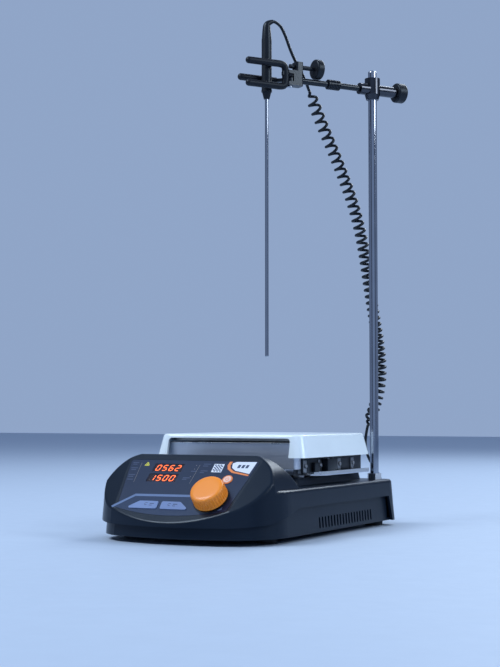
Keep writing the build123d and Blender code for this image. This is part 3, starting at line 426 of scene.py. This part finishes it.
def mesh_of(curve):
    """The curve's mesh, as it is drawn."""
    holder = bpy.data.objects.new("holder", curve)
    mesh = bpy.data.meshes.new_from_object(holder)
    bpy.data.objects.remove(holder)
    bpy.data.curves.remove(curve)
    return mesh


def line_of(label, points, steps=6):
    """The points down the middle of a route's smooth curve."""
    mesh = mesh_of(spline_curve(label, points, 0, steps=steps))
    line = [v.co.copy() for v in mesh.vertices]
    bpy.data.meshes.remove(mesh)
    return line


def tube(label, points, radius, body, slot, finish, sizes=None, steps=6, sides=4):
    """A tube along a route's smooth curve."""
    mesh = mesh_of(spline_curve(label, points, radius, sizes, steps, sides))
    bm = bmesh.new()
    bm.from_mesh(mesh)
    bpy.data.meshes.remove(mesh)
    return settle(label, bm, body, slot, finish, sharp=50)


def curled(line, radius, top_pitch, foot_pitch, ease, per_turn=14):
    """The points of a curly lead's turns round a line, drawn in at both ends."""
    lengths = [0.0]
    for a, b in zip(line, line[1:]):
        lengths.append(lengths[-1] + (b - a).length)
    whole, points, at, phase, i = lengths[-1], [], 0.0, 0.0, 0
    side = Vector((1, 0, 0))
    while at < whole:
        while lengths[i + 1] < at:
            i += 1
        way = (line[i + 1] - line[i]).normalized()
        side = (side - way * side.dot(way)).normalized()
        middle = line[i].lerp(line[i + 1], (at - lengths[i]) / (lengths[i + 1] - lengths[i]))
        near = min(1.0, at / ease, (whole - at) / ease)
        reach = radius * near * near * (3 - 2 * near)
        points.append(
            middle + reach * (math.cos(phase) * side + math.sin(phase) * way.cross(side))
        )
        share = at / whole
        pitch = top_pitch + (foot_pitch - top_pitch) * min(1.0, share * 1.4)
        phase += 2 * math.pi / per_turn
        at += pitch / per_turn
    return [line[0], *points[1:], line[-1]]


def lifted_panel(node):
    """The panel's place, lifted onto a node's outer face."""
    normal, middle = PANEL.col[2].xyz.normalized(), PANEL.translation
    top = max((v.co - middle).dot(normal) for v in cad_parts[node].data.vertices)
    return Matrix.Translation(normal * top) @ PANEL


def on_arm(points):
    """Points given along, across and above the arm, in millimetres, in the frame."""
    return [tuple(ARM @ Vector(point)) for point in points]


def add_ball(bm, centre, radius):
    """A ball that closes a sleeve's end."""
    bmesh.ops.create_uvsphere(
        bm, u_segments=20, v_segments=12, radius=radius, matrix=Matrix.Translation(centre)
    )


# ---- Sizes and colours -----------------------------------------------------------------


class StirrerFinishes(PropertyGroup):
    case_colour: FloatVectorProperty(
        name="Case", description="Colour of the moulded case", subtype="COLOR",
        default=(0.006, 0.0115, 0.022), min=0, max=1,
    )
    panel_colour: FloatVectorProperty(
        name="Panel", description="Colour of the printed panel film", subtype="COLOR",
        default=(0.0095, 0.019, 0.052), min=0, max=1,
    )
    knob_colour: FloatVectorProperty(
        name="Knob", description="Colour of the speed and heat knob", subtype="COLOR",
        default=(1.0, 0.29, 0.022), min=0, max=1,
    )
    key_colour: FloatVectorProperty(
        name="Keys", description="Colour of the two keys", subtype="COLOR",
        default=(0.17, 0.24, 0.44), min=0, max=1,
    )
    plate_colour: FloatVectorProperty(
        name="Plate", description="Colour of the plate's enamel", subtype="COLOR",
        default=(0.86, 0.95, 0.99), min=0, max=1,
    )


class StirrerSizes(PropertyGroup):
    knob_radius: FloatProperty(
        name="Knob radius", description="Radius over the knob's ribs", default=0.0178,
        unit="LENGTH",
    )
    knob_ribs: IntProperty(name="Knob ribs", description="Ribs round the knob", default=38)
    lead_radius: FloatProperty(
        name="Lead radius", description="Radius of the probe's lead", default=0.0017,
        unit="LENGTH",
    )
    curl_radius: FloatProperty(
        name="Curl radius", description="Radius of the curly lead's turns", default=0.006,
        unit="LENGTH",
    )
    upper_reading: StringProperty(
        name="Upper reading", description="Digits on the upper display", default="0562"
    )
    lower_reading: StringProperty(
        name="Lower reading", description="Digits on the lower display", default="1500"
    )


# ---- Operators -------------------------------------------------------------------------


class STIRRER_OT_camera(Operator):
    """Places the camera low in front, a little to the right"""

    bl_idname = "stirrer.camera"
    bl_label = "Camera"

    def execute(self, context):
        lens = bpy.data.cameras.new("camera")
        lens.lens = 73.3
        lens.sensor_width = 36
        lens.clip_end = 30
        camera = bpy.data.objects.new("camera", lens)
        bpy.context.scene.collection.objects.link(camera)
        camera.location = (0.7018, -1.3483, 0.1275)
        camera.rotation_euler = (math.radians(93.39), 0, math.radians(28.15))
        bpy.context.scene.camera = camera
        return {"FINISHED"}


class STIRRER_OT_leads(Operator):
    """Makes the probe's lead: its plain top, its long curly stretch and its tail to the plug"""

    bl_idname = "stirrer.leads"
    bl_label = "Probe lead"

    def execute(self, context):
        sizes = context.scene.stirrer_sizes
        radius = sizes.lead_radius
        boot = tube(
            "lead_boot", BOOT_ROUTE, 0.0032, "probe", "cord", "cord",
            sizes=[1.72, 1.55, 1.1, 0.66], steps=10,
        )
        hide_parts("cord_boot")

        upper = tube("lead_top", UPPER_ROUTE, radius, None, "cord", "cord", steps=8)
        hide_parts("lead_upper")
        line = line_of("lead_top_line", UPPER_ROUTE, 8)
        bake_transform(upper)

        middle = line_of("lead_curl_line", COIL_ROUTE, 16)
        turns = curled(middle, sizes.curl_radius, 0.0112, 0.0074, 0.012)
        curly = tube("lead_curl", turns, radius, None, "cord", "cord", steps=2, sides=2)
        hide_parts("lead_coil")
        wire = line_of("lead_curl_wire", turns, 2)
        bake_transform(curly)

        tail = tube("lead_end", TAIL_ROUTE, radius, "root", "cord", "cord", steps=8)
        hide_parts("lead_tail")
        tail_line = line_of("lead_end_line", TAIL_ROUTE, 8)

        return {"FINISHED"}


class STIRRER_OT_case(Operator):
    """Finishes the moulded case, its feet and screws"""

    bl_idname = "stirrer.case"
    bl_label = "Case"

    def execute(self, context):
        paint("housing", "top_shell")
        paint("housing_lower", "bottom_shell")
        paint("rubber", "rubber_feet")
        paint("zinc", "case_screws")
        return {"FINISHED"}


class STIRRER_OT_panel(Operator):
    """Prints the control panel: lines, symbols, fill and band"""

    bl_idname = "stirrer.panel"
    bl_label = "Panel"

    def execute(self, context):
        paint("overlay", "panel_overlay")
        paint("display", "displays")
        paint("button_pale", "power_button")
        paint("panel_orange", "power_bezel")
        paint("key_silver", "key_left", "key_right")

        fill = bmesh.new()
        foot = [(x, -38.2 + 8.2 * (x / 62.5) ** 2) for x in range(40, -62, -5)]
        slab(
            fill, [(-68.2, -29.6), (-47.8, -13), (16, -12.1), (30, -20), *foot, (-62, -30.2)],
            0.0, 0.06,
        )
        settle("panel_lower_fill", fill, "root", "overlay", "panel_fill")

        band = bmesh.new()
        slab(band, stroke([(-68.6, -29.4), (-47.8, -12.6), (20, -11.8)], 3.0), 0.06, 0.12)
        slab(band, [(53.5, -29.5), (57.5, -28.4), (57.0, -24.6), (53.8, -25.6)], 0.0, 0.1)
        settle("panel_band", band, "root", "overlay", "panel_band")

        lines = bmesh.new()
        slab(lines, stroke([(-61, 32), (-58.6, 4.9)], 0.35), *INK)
        slab(lines, stroke([(8.9, 30.7), (7.5, 4.8)], 0.35), *INK)
        for x, y, radius in ((5.2, 29.8, 0.5), (5.0, 24.6, 0.5), (4.6, 14.2, 0.5)):
            slab(lines, ring_corners(x, y, radius, steps=16), *INK)
        settle("panel_lines", lines, "root", "overlay", "panel_line")

        marks = bmesh.new()
        for x, y, wide in (
            (-71.5, 31.5, 7), (-70.6, 29.2, 5), (-70.6, 24, 8), (-69.6, 21.6, 6),
            (-69.4, 14.5, 8), (-68.6, 12, 6), (-68.2, 8, 7), (2.2, 21, 6),
            (13, 31.2, 8), (13, 28.6, 6), (13, 21.8, 8), (13, 19.4, 5), (-3.4, 11.8, 8),
            (-3.4, 9.8, 5),
        ):
            slab(marks, [(x, y), (x + wide, y), (x + wide, y + 1.2), (x, y + 1.2)], *INK)
        settle("panel_marks", marks, "root", "overlay", "panel_grey")

        hot = bmesh.new()
        for angle in (90, 210, 330):
            ends = [
                (-53.5 + 2.9 * math.cos(math.radians(angle + turn)),
                 29.9 + 2.9 * math.sin(math.radians(angle + turn)))
                for turn in (0, 120)
            ]
            slab(hot, stroke(ends, 0.9), *INK)
        slab(hot, ring_corners(-53.5, 29.8, 0.8, steps=16), *INK)
        settle("panel_triangle", hot, "root", "overlay", "panel_yellow")

        tile = bmesh.new()
        slab(tile, [(25.4, 20.9), (36.9, 20.9), (36.9, 32.3), (25.4, 32.3)], 0.0, 0.06)
        slab(
            tile,
            [(45.6, 33.4), (49.6, 35.6), (72.0, 35.9), (69.4, 19.6), (52.2, 23.6), (47, 27.4)],
            0.07, 0.13,
        )
        settle("panel_tile", tile, "root", "overlay", "panel_white")
        checks = bmesh.new()
        for i in range(6):
            for j in range(6):
                if (i + j) % 2:
                    x, y = 26.35 + 1.6 * i, 21.85 + 1.6 * j
                    corners = [(x, y), (x + 1.6, y), (x + 1.6, y + 1.6), (x, y + 1.6)]
                    slab(checks, corners, 0.06, 0.11)
        for x in (52.6, 57.2, 61.8):
            slab(checks, [(x, 27.2), (x + 3, 27.2), (x + 3.6, 31.6), (x + 0.6, 31.6)], 0.13, 0.18)
        settle("panel_checks", checks, "root", "overlay", "panel_grey")
        swoosh = bmesh.new()
        slab(
            swoosh,
            [(41.6, 35.8), (44.8, 35.8), (43.9, 31), (45.6, 26.6), (51, 22.6), (69.2, 18.6),
             (68.9, 16.8), (49, 20.8), (42.6, 25.6), (40.6, 31)],
            *INK,
        )
        settle("panel_swoosh", swoosh, "root", "overlay", "panel_orange")

        ring = bmesh.new()
        arc_slab(ring, 48.3, 11.2, 1.5, 2.0, 125, 290, 0, 0.06, lifted_panel("power_button"))
        slab(ring, stroke([(48.3, 12), (48.3, 14)], 0.5), 0, 0.06, lifted_panel("power_button"))
        settle("power_symbol", ring, "power_key", "button_pale", "panel_orange")

        for key, body, x in (("key_left", "left_key", -27), ("key_right", "right_key", 0)):
            symbol = bmesh.new()
            place = lifted_panel(key)
            arc_slab(symbol, x - 2.6, -24.6, 1.3, 1.8, 40, 280, 0, 0.06, place)
            slab(symbol, stroke([(x + 1.4, -24), (x + 6.4, -24)], 0.9), 0, 0.06, place)
            slab(symbol, stroke([(x + 1.4, -26.2), (x + 4.8, -26.2)], 0.7), 0, 0.06, place)
            settle(f"{key}_symbol", symbol, body, "key_silver", "panel_grey")
        return {"FINISHED"}


class STIRRER_OT_digits(Operator):
    """Lights the seven-segment readings"""

    bl_idname = "stirrer.digits"
    bl_label = "Readings"

    def execute(self, context):
        sizes = context.scene.stirrer_sizes
        bm = bmesh.new()
        for x, y, reading in (
            (-26.5, 25.8, sizes.upper_reading), (-27.5, 11.8, sizes.lower_reading)
        ):
            for place, digit in enumerate(reading):
                middle = x + 7.7 * (place - 1.5)
                for name, (cx, cy, upright) in {
                    "a": (0, 3.6, 0), "b": (2.1, 1.8, 1), "c": (2.1, -1.8, 1), "d": (0, -3.6, 0),
                    "e": (-2.1, -1.8, 1), "f": (-2.1, 1.8, 1), "g": (0, 0, 0),
                }.items():
                    long, thin = (1.62, 0.5) if upright else (1.9, 0.5)
                    shape = [(-long, 0), (-long + thin, thin), (long - thin, thin), (long, 0),
                             (long - thin, -thin), (-long + thin, -thin)]
                    if upright:
                        shape = [(v, u) for u, v in shape]
                    lit = name in SEGMENTS[digit]
                    slab(
                        bm,
                        [(middle + cx + u + 0.16 * (cy + v), y + cy + v) for u, v in shape],
                        -0.4, -0.34 if lit else -0.37, PANEL, 0 if lit else 1,
                    )
        settle("display_digits", bm, "root", "display", "segment_lit", "segment_off")
        return {"FINISHED"}


class STIRRER_OT_knob(Operator):
    """Makes the ribbed knob and the black ring it stands in, a painted shadow round its foot"""

    bl_idname = "stirrer.knob"
    bl_label = "Knob"

    def execute(self, context):
        sizes = context.scene.stirrer_sizes
        radius, ribs = 1000 * sizes.knob_radius, sizes.knob_ribs
        place = PANEL @ Matrix.Translation((41, -15, 0))
        profile = [
            (0, 1.6), (radius - 0.8, 1.6), (radius, 2.2), (radius, 3.0), (radius - 0.1, 4.2),
            (radius - 0.35, 12.6), (radius - 0.7, 13.8), (radius - 1.5, 14.9),
            (radius - 2.7, 15.6), (radius - 4.4, 15.9), (radius - 7, 15.95), (0, 16.0),
        ]
        bm = bmesh.new()
        turned(bm, profile, Matrix.Identity(4), steps=4 * ribs)
        for vert in bm.verts:
            reach = math.hypot(vert.co.x, vert.co.y)
            if 3.5 < vert.co.z < 14.2 and reach > radius - 1.2:
                step = round(math.atan2(vert.co.y, vert.co.x) / (2 * math.pi) * 4 * ribs) % 4
                draw = (0.0, 0.0, 0.65, 0.65)[step] * (1 if vert.co.z < 13 else 0.5)
                vert.co.x *= 1 - draw / reach
                vert.co.y *= 1 - draw / reach
        bmesh.ops.transform(bm, matrix=place, verts=bm.verts)
        knob = settle("knob_cap", bm, "control_knob", "knob_orange", "knob_orange", sharp=22)
        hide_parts("knob")

        # A black ring round the knob's foot, reaching a little past it: painted shadow of the knob
        # on the panel.
        ring = bmesh.new()
        turned(
            ring,
            [(radius - 2, 0.0), (radius + 1.1, 0.0), (radius + 1.1, 0.35), (radius + 0.8, 0.55),
             (radius - 2, 0.55), (radius - 2, 0.0)],
            place, steps=96,
        )
        settle("knob_shadow_ring", ring, "root", "black_plastic", "black_plastic")
        return {"FINISHED"}


class STIRRER_OT_plate(Operator):
    """Finishes the plate, its heater and shield, and adds the terminals under it"""

    bl_idname = "stirrer.plate"
    bl_label = "Hot plate"

    def execute(self, context):
        paint("plate_enamel", "hot_plate")
        paint("heater", "heater_element")
        paint("stainless", "heater_casing")
        paint("mineral_wool", "insulation_pad")
        paint("stainless", "heat_shield")
        paint("metal", "plate_posts")

        dark = bmesh.new()
        block(dark, (78.4, -20, 64), (86, 4, 79.5), 0.8)
        block(dark, (78.4, -46, 66), (83, -34, 76), 0.6)
        for hand in (-1, 1):
            low, high = sorted((hand * 78.15, hand * 78.9))
            block(dark, (low, -70, 64), (high, 84, 81.5), 0.2)
        settle("terminal_block", dark, "root", "black_plastic", "black_plastic")

        lip = bmesh.new()
        for hand in (-1, 1):
            edge = [(hand * 70, -42.4), (hand * 76, -42.4), (hand * 87.4, -31), (hand * 87.4, 86)]
            slab(lip, stroke(edge, 1.2), 63.4, 66.4, IN_MM)
        settle("shield_lip", lip, "root", "stainless", "zinc")

        bright = bmesh.new()
        for y in (-14, -2):
            turned(
                bright, [(0, 79.3), (2.2, 79.3), (2.2, 80.2), (1.8, 80.6), (0, 80.7)],
                IN_MM @ Matrix.Translation((82.4, y, 0)), steps=20,
            )
        for y in (-64, -27, 22, 58):
            block(bright, (79, y - 4, 66), (80, y + 4, 79), 0.3)
            block(bright, (79, y - 4, 64.2), (85, y + 4, 65.3), 0.3)
            side = IN_MM @ Matrix.Translation((80, y, 73)) @ Matrix.Rotation(math.pi / 2, 4, "Y")
            turned(bright, [(0, 0), (2.4, 0), (2.4, 1.2), (1.9, 1.8), (0, 1.9)], side, steps=20)
        settle("casing_brackets", bright, "root", "zinc", "dull_zinc")

        window = bmesh.new()
        block(window, (-73, -82.2, 96.2), (73, -81.1, 97.4), 0.3)
        settle("casing_lip", window, "root", "stainless", "zinc")
        return {"FINISHED"}


class STIRRER_OT_stand(Operator):
    """Finishes the rod, its nut and the clamp"""

    bl_idname = "stirrer.stand"
    bl_label = "Stand and clamp"

    def execute(self, context):
        paint("chrome", "support_rod", "jaw_pin")
        paint("zinc", "rod_nut")
        paint("metal", "rod_socket")
        paint("black_nickel", "clamp_boss", "pressure_pad")
        paint("black_metal", "clamp_arm")
        paint("black_plastic", "boss_screw", "adjusting_screw")
        paint("black_metal", "fork_jaw", "single_jaw")

        collar = bmesh.new()
        along = ARM @ Matrix.Translation((45, 0, 505.5)) @ Matrix.Rotation(math.pi / 2, 4, "Y")
        rings = [(3.5, 0), (5.2, 0)]
        for i in range(8):
            start = 2 * i
            rings += [(5.75, start + 0.6), (5.75, start + 1.5)]
            rings += [(5.2, start + 1.7), (5.2, start + 2.3)]
        turned(collar, rings[:-1] + [(5.2, 16), (3.5, 16), (3.5, 0)], along, steps=40)
        made = settle("arm_grip_rings", collar, "clamp", "black_metal", "black_metal")
        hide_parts("arm_collar")
        return {"FINISHED"}


class STIRRER_OT_jaws(Operator):
    """Makes the vinyl sleeves of the clamp's fork and finger, bent round their yokes"""

    bl_idname = "stirrer.jaws"
    bl_label = "Jaw sleeves"

    def execute(self, context):
        aside = 9.9
        fork = on_arm(
            [(166.5, aside, 519.3), (150, aside, 519.3), (138, aside, 519.3), (127, aside, 519.6),
             (121.4, aside, 518.0), (120.6, aside, 511), (120.6, aside, 502), (121.4, aside, 495.3),
             (127, aside, 493.7), (138, aside, 494), (150, aside, 494), (166.5, aside, 494)]
        )
        sleeve = tube(
            "fork_grip", fork, SLEEVE_RADIUS, "fork", "black_plastic", "sleeve", steps=8, sides=6
        )
        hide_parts("fork_sleeves")
        finger = on_arm(
            [(along, -aside, 504.8) for along in (166.5, 150, 138, 127, 122.5)]
        )
        sleeve = tube(
            "finger_grip", finger, SLEEVE_RADIUS, "finger", "black_plastic", "sleeve",
            steps=8, sides=6,
        )
        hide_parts("single_sleeve")

        tips = bmesh.new()
        for end in (fork[0], fork[-1]):
            add_ball(tips, end, SLEEVE_RADIUS)
        settle("fork_grip_tips", tips, "fork", "black_plastic", "sleeve")
        tip = bmesh.new()
        add_ball(tip, finger[0], SLEEVE_RADIUS)
        settle("finger_grip_tip", tip, "finger", "black_plastic", "sleeve")
        return {"FINISHED"}


class STIRRER_OT_probe(Operator):
    """Finishes the temperature probe and its handle"""

    bl_idname = "stirrer.probe"
    bl_label = "Probe"

    def execute(self, context):
        paint("chrome", "probe_tube")
        paint("black_plastic", "probe_handle")
        return {"FINISHED"}


class STIRRER_OT_rear(Operator):
    """Finishes the rear panel and its fittings"""

    bl_idname = "stirrer.rear"
    bl_label = "Rear panel"

    def execute(self, context):
        paint("sheet_top", "rear_panel")
        paint("black_plastic", "inlet_body", "fuse_holder", "fuse_carrier", "switch_frame")
        paint("black_plastic", "rocker", "probe_plug")
        paint("zinc", "probe_socket")
        return {"FINISHED"}


class STIRRER_OT_inside(Operator):
    """Finishes the motor, fan, boards and magnets inside the case"""

    bl_idname = "stirrer.inside"
    bl_label = "Inside"

    def execute(self, context):
        paint("circuit_board", "display_board", "main_board")
        paint("black_plastic", "encoder_body", "tact_switches", "board_parts")
        paint("metal", "encoder_shaft", "encoder_plunger", "motor_bearings", "rotor_spindle")
        paint("aluminium", "motor_case", "magnet_holder")
        paint("copper", "stator")
        paint("zinc", "stir_magnets")
        paint("black_plastic", "fan_frame", "fan_impeller")
        return {"FINISHED"}


class STIRRER_OT_stage(Operator):
    """Lays a pale floor and sets soft studio light"""

    bl_idname = "stirrer.stage"
    bl_label = "Stage"

    def execute(self, context):
        bm = bmesh.new()
        bmesh.ops.create_grid(bm, x_segments=1, y_segments=1, size=6)
        floor = settle("floor", bm, None, "housing", "backdrop")

        world = bpy.data.worlds.new("soft_light")
        world.use_nodes = True
        sky = world.node_tree.nodes["Background"]
        sky.inputs["Strength"].default_value = 0.7
        around = world.node_tree.nodes.new("ShaderNodeTexCoord")
        turn = world.node_tree.nodes.new("ShaderNodeMapping")
        turn.inputs["Rotation"].default_value = (0, 0, math.radians(-27.5))
        split = world.node_tree.nodes.new("ShaderNodeSeparateXYZ")
        size = world.node_tree.nodes.new("ShaderNodeMath")
        size.operation = "ABSOLUTE"
        tone = world.node_tree.nodes.new("ShaderNodeValToRGB")
        tone.color_ramp.elements[0].color = (0.4, 0.54, 0.82, 1)
        tone.color_ramp.elements[0].position = 0.45
        tone.color_ramp.elements[1].color = (0.06, 0.08, 0.13, 1)
        tone.color_ramp.elements[1].position = 0.68
        tone.color_ramp.elements.new(0.9).color = (0.3, 0.4, 0.62, 1)
        link = world.node_tree.links.new
        link(around.outputs["Generated"], turn.inputs["Vector"])
        link(turn.outputs["Vector"], split.inputs["Vector"])
        link(split.outputs["X"], size.inputs[0])
        link(size.outputs["Value"], tone.inputs["Fac"])
        link(tone.outputs["Color"], sky.inputs["Color"])
        context.scene.world = world

        for label, spot, size, power in (
            ("key_light", (-1.1, -1.3, 2.2), 1.2, 52),
            ("side_light", (2.0, 0.1, 1.3), 0.9, 20),
            ("rim_light", (0.3, 2.0, 1.8), 1.2, 34),
        ):
            light = bpy.data.lights.new(label, "AREA")
            light.size = size
            light.energy = power
            light.color = (0.84, 0.92, 1.0)
            lamp = bpy.data.objects.new(label, light)
            lamp.location = spot
            towards = Vector((0, 0, 0.15)) - Vector(spot)
            lamp.rotation_euler = towards.to_track_quat("-Z", "Y").to_euler()
            context.scene.collection.objects.link(lamp)
        context.scene.view_settings.view_transform = "Standard"
        return {"FINISHED"}


class STIRRER_PT_pieces(Panel):
    """The stirrer's pieces, in the order they are made"""

    bl_label = "Stirrer"
    bl_idname = "STIRRER_PT_pieces"
    bl_space_type = "VIEW_3D"
    bl_region_type = "UI"
    bl_category = "Stirrer"

    def draw(self, context):
        for group in (context.scene.stirrer_finishes, context.scene.stirrer_sizes):
            for name in group.bl_rna.properties.keys():
                if name not in ("rna_type", "name"):
                    self.layout.prop(group, name)
        for operator in OPERATORS:
            self.layout.operator(operator.bl_idname)


OPERATORS = (
    STIRRER_OT_camera,
    STIRRER_OT_leads,
    STIRRER_OT_case,
    STIRRER_OT_panel,
    STIRRER_OT_digits,
    STIRRER_OT_knob,
    STIRRER_OT_plate,
    STIRRER_OT_stand,
    STIRRER_OT_jaws,
    STIRRER_OT_probe,
    STIRRER_OT_rear,
    STIRRER_OT_inside,
    STIRRER_OT_stage,
)
CLASSES = (StirrerFinishes, StirrerSizes, *OPERATORS, STIRRER_PT_pieces)


def register():
    for kind in CLASSES:
        bpy.utils.register_class(kind)
    bpy.types.Scene.stirrer_finishes = bpy.props.PointerProperty(type=StirrerFinishes)
    bpy.types.Scene.stirrer_sizes = bpy.props.PointerProperty(type=StirrerSizes)


def unregister():
    del bpy.types.Scene.stirrer_sizes
    del bpy.types.Scene.stirrer_finishes
    for kind in reversed(CLASSES):
        bpy.utils.unregister_class(kind)


def main():
    register()
    bpy.ops.stirrer.camera()
    bpy.ops.stirrer.leads()
    bpy.ops.stirrer.case()
    bpy.ops.stirrer.panel()
    bpy.ops.stirrer.digits()
    bpy.ops.stirrer.knob()
    bpy.ops.stirrer.plate()
    bpy.ops.stirrer.stand()
    bpy.ops.stirrer.jaws()
    bpy.ops.stirrer.probe()
    bpy.ops.stirrer.rear()
    bpy.ops.stirrer.inside()
    bpy.ops.stirrer.stage()


if __name__ == "__main__":
    main()
